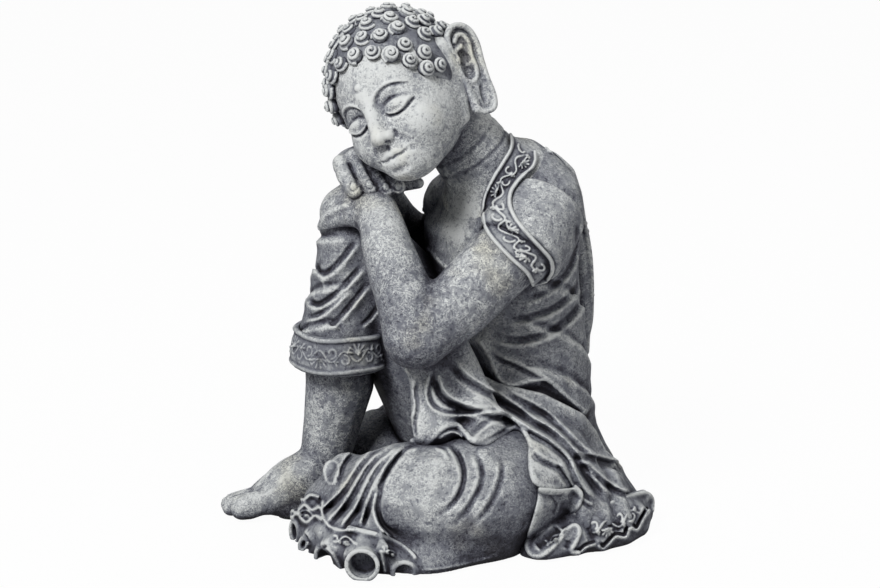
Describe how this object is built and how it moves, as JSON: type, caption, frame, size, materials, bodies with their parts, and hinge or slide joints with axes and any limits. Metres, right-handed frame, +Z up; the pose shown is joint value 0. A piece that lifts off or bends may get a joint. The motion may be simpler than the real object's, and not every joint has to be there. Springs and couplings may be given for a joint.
{
  "type": "resting stone figurine",
  "caption": "Seated cast-stone figurine asleep with its head on its hands over a raised knee, in a draped robe with ruffled hems.",
  "frame": {"origin": "centre of the bounding box's footprint, on the surface that the figurine stands on", "axes": "+Z up; -Y towards someone who faces the display side; +X to their right, where the figurine's left shoulder is; the raised knee and the bare foot are towards -X"},
  "size_m": [0.3305, 0.2792, 0.3972],
  "materials": {
    "stone_robe": "matt cast stone, antiqued dark in the folds and dry-brushed pale on the ridges",
    "stone_skin": "matt cast stone, finely crazed, pale",
    "stone_hair": "matt cast stone",
    "stone_trim": "matt cast stone with pale raised ornament",
    "stone_plate": "rough cast stone",
    "plug_rubber": "matt",
    "dowel_steel": "plain",
    "felt": "pressed felt"
  },
  "bodies": {
    "root": {"robe_body": "stone_robe", "base_plate": "stone_plate", "drain_plug": "plug_rubber", "felt_pad_front": "felt", "felt_pad_foot": "felt", "felt_pad_side": "felt", "felt_pad_back": "felt", "head": "stone_skin", "neck_dowel": "dowel_steel", "hair_cap": "stone_hair", "left_ear": "stone_skin", "right_ear": "stone_skin", "shoulder_band": "stone_trim", "back_sash": "stone_trim", "left_arm": "stone_skin", "left_hand": "stone_skin", "right_arm": "stone_skin", "right_hand": "stone_skin", "raised_leg": "stone_robe", "leg_hem_band": "stone_trim", "shin_and_foot": "stone_skin", "folded_leg": "stone_robe", "lap_fold": "stone_robe", "front_hem": "stone_trim", "side_hem": "stone_trim"}
  },
  "joints": []
}
